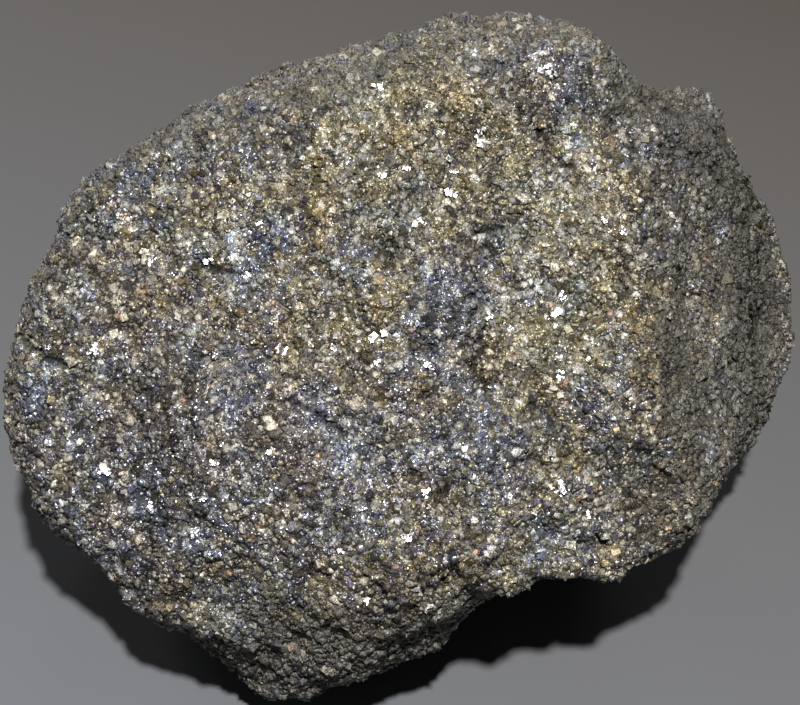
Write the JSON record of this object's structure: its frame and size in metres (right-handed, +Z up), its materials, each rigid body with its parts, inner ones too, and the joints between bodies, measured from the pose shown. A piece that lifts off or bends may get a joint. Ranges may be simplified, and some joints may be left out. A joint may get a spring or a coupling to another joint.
{
  "type": "lump of barite ore",
  "caption": "Rough broken lump of fine-grained sulphide and barite ore that lies on its flattest break, its main face looking forward and up.",
  "frame": {"origin": "on the flat break that the lump lies on, under the middle of its bounding box", "axes": "+X along the longest side, +Y away from the main face, +Z up from the flat break"},
  "size_m": [0.0816, 0.0666, 0.0594],
  "materials": {
    "ore": "rough, with sparkling grains"
  },
  "bodies": {
    "root": {"ore_lump": "ore"}
  },
  "joints": []
}
